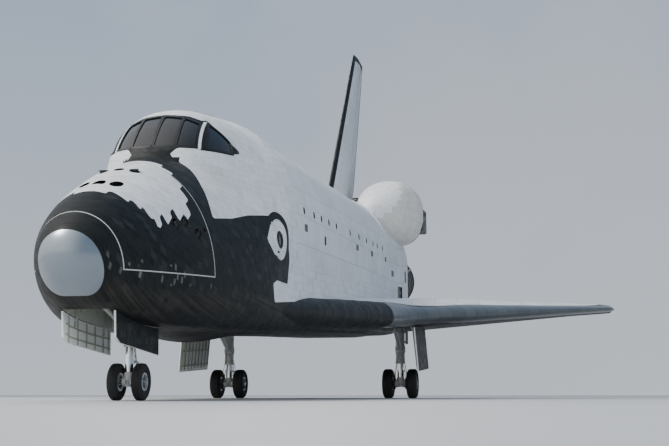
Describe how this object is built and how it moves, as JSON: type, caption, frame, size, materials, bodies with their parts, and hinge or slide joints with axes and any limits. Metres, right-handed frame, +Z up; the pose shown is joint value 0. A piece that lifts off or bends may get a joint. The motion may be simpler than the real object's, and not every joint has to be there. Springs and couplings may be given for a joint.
{
  "type": "space shuttle orbiter",
  "caption": "Winged space shuttle orbiter standing on its landing gear, with opening payload bay doors, crew hatch, elevons, rudder with speed brake, body flap and turning wheels.",
  "frame": {"origin": "on the ground, under the middle of the craft's bounding box, standing on its landing gear", "axes": "+X forward to the nose, +Y to the left (port) wing, +Z up"},
  "size_m": [36.426, 23.7744, 17.1967],
  "materials": {
    "white_tile": "matte",
    "black_tile": "satin",
    "carbon": "satin",
    "nose_carbon": "gloss",
    "window_glass": "gloss",
    "engine_metal": "satin",
    "gear_paint": "satin",
    "wheel_metal": "satin",
    "spar_metal": "satin",
    "tyre_rubber": "matte",
    "cabin_interior": "matte",
    "seat_cover": "matte"
  },
  "bodies": {
    "airframe": {"aft_fuselage": "white_tile", "crew_seat_left": "seat_cover", "crew_seat_right": "seat_cover", "engine_pod_left": "white_tile", "engine_pod_right": "white_tile", "fin": "white_tile", "flight_deck": "cabin_interior", "forward_fuselage": "white_tile", "forward_thruster_module": "white_tile", "leading_edge_left": "carbon", "leading_edge_right": "carbon", "main_engine_left": "engine_metal", "main_engine_right": "engine_metal", "main_engine_upper": "engine_metal", "main_gear_door_left": "black_tile", "main_gear_door_right": "black_tile", "main_gear_leg_left": "gear_paint", "main_gear_leg_right": "gear_paint", "mid_fuselage": "white_tile", "nose_cap": "nose_carbon", "nose_gear_door_left": "white_tile", "nose_gear_door_right": "white_tile", "nose_gear_leg": "gear_paint", "orbital_nozzle_left": "engine_metal", "orbital_nozzle_right": "engine_metal", "overhead_window_left": "window_glass", "overhead_window_right": "window_glass", "windscreen_centre_left": "window_glass", "windscreen_centre_right": "window_glass", "windscreen_middle_left": "window_glass", "windscreen_middle_right": "window_glass", "windscreen_side_left": "window_glass", "windscreen_side_right": "window_glass", "wing_left": "black_tile", "wing_right": "black_tile"},
    "nose_steering_post": {"nose_gear_piston": "gear_paint"},
    "nose_wheels": {"nose_wheel_hubs": "wheel_metal", "nose_tyre_left": "tyre_rubber", "nose_tyre_right": "tyre_rubber"},
    "main_wheels_left": {"main_wheel_hubs_left": "wheel_metal", "main_tyre_outer_left": "tyre_rubber", "main_tyre_inner_left": "tyre_rubber"},
    "main_wheels_right": {"main_wheel_hubs_right": "wheel_metal", "main_tyre_outer_right": "tyre_rubber", "main_tyre_inner_right": "tyre_rubber"},
    "elevon_inboard_left": {"elevon_inboard_left": "black_tile"},
    "elevon_outboard_left": {"elevon_outboard_left": "black_tile"},
    "elevon_inboard_right": {"elevon_inboard_right": "black_tile"},
    "elevon_outboard_right": {"elevon_outboard_right": "black_tile"},
    "body_flap": {"body_flap": "black_tile"},
    "rudder": {"rudder_spar": "spar_metal"},
    "speed_brake_left": {"speed_brake_left": "white_tile"},
    "speed_brake_right": {"speed_brake_right": "white_tile"},
    "payload_bay_door_left": {"payload_bay_door_left": "white_tile"},
    "payload_bay_door_right": {"payload_bay_door_right": "white_tile"},
    "side_hatch": {"side_hatch": "white_tile", "hatch_window": "window_glass"}
  },
  "joints": [
    {"name": "nose_steering", "type": "hinge", "parent": "airframe", "child": "nose_steering_post", "pos_m": [14.50343, 0, 0.4064], "axis": [0, 0, 1], "range_deg": [-10, 10]},
    {"name": "nose_wheel_spin", "type": "hinge", "parent": "nose_steering_post", "child": "nose_wheels", "pos_m": [14.50343, 0, 0.4064], "axis": [0, 1, 0], "continuous": true},
    {"name": "main_wheel_spin_left", "type": "hinge", "parent": "airframe", "child": "main_wheels_left", "pos_m": [-5.6667, 3.4544, 0.56515], "axis": [0, 1, 0], "continuous": true},
    {"name": "main_wheel_spin_right", "type": "hinge", "parent": "airframe", "child": "main_wheels_right", "pos_m": [-5.6667, -3.4544, 0.56515], "axis": [0, 1, 0], "continuous": true},
    {"name": "elevon_inboard_left_hinge", "type": "hinge", "parent": "airframe", "child": "elevon_inboard_left", "pos_m": [-10.97891, 2.9464, 3.16459], "axis": [-0.0037, -0.9981, -0.061], "range_deg": [-35, 20]},
    {"name": "elevon_outboard_left_hinge", "type": "hinge", "parent": "airframe", "child": "elevon_outboard_left", "pos_m": [-10.96022, 7.9502, 3.47026], "axis": [-0.0037, -0.9981, -0.061], "range_deg": [-35, 20]},
    {"name": "elevon_inboard_right_hinge", "type": "hinge", "parent": "airframe", "child": "elevon_inboard_right", "pos_m": [-10.97891, -2.9464, 3.16459], "axis": [0.0037, -0.9981, 0.061], "range_deg": [-35, 20]},
    {"name": "elevon_outboard_right_hinge", "type": "hinge", "parent": "airframe", "child": "elevon_outboard_right", "pos_m": [-10.96022, -7.9502, 3.47026], "axis": [0.0037, -0.9981, 0.061], "range_deg": [-35, 20]},
    {"name": "body_flap_hinge", "type": "hinge", "parent": "airframe", "child": "body_flap", "pos_m": [-14.41157, 0, 3.4592], "axis": [0, -1, 0], "range_deg": [-11.7, 22.5]},
    {"name": "rudder_hinge", "type": "hinge", "parent": "airframe", "child": "rudder", "pos_m": [-13.48157, 0, 11.34193], "axis": [-0.5215, 0, 0.8532], "range_deg": [-27.1, 27.1]},
    {"name": "speed_brake_left_hinge", "type": "hinge", "parent": "rudder", "child": "speed_brake_left", "pos_m": [-13.48157, 0, 11.34193], "axis": [0.5215, 0, -0.8532], "range_deg": [0, 49.3]},
    {"name": "speed_brake_right_hinge", "type": "hinge", "parent": "rudder", "child": "speed_brake_right", "pos_m": [-13.48157, 0, 11.34193], "axis": [-0.5215, 0, 0.8532], "range_deg": [0, 49.3]},
    {"name": "payload_bay_door_left_hinge", "type": "hinge", "parent": "airframe", "child": "payload_bay_door_left", "pos_m": [0.45284, 2.6035, 5.75644], "axis": [-0.9981, 0, 0.061], "range_deg": [0, 175.5]},
    {"name": "payload_bay_door_right_hinge", "type": "hinge", "parent": "airframe", "child": "payload_bay_door_right", "pos_m": [0.45284, -2.6035, 5.75644], "axis": [0.9981, 0, -0.061], "range_deg": [0, 175.5]},
    {"name": "side_hatch_hinge", "type": "hinge", "parent": "airframe", "child": "side_hatch", "pos_m": [10.84617, 2.56286, 3.43613], "axis": [-0.9981, 0, 0.061], "range_deg": [0, 90]}
  ],
  "couplings": [
    {"joint": "speed_brake_right_hinge", "follows": "speed_brake_left_hinge", "ratio": 1}
  ]
}
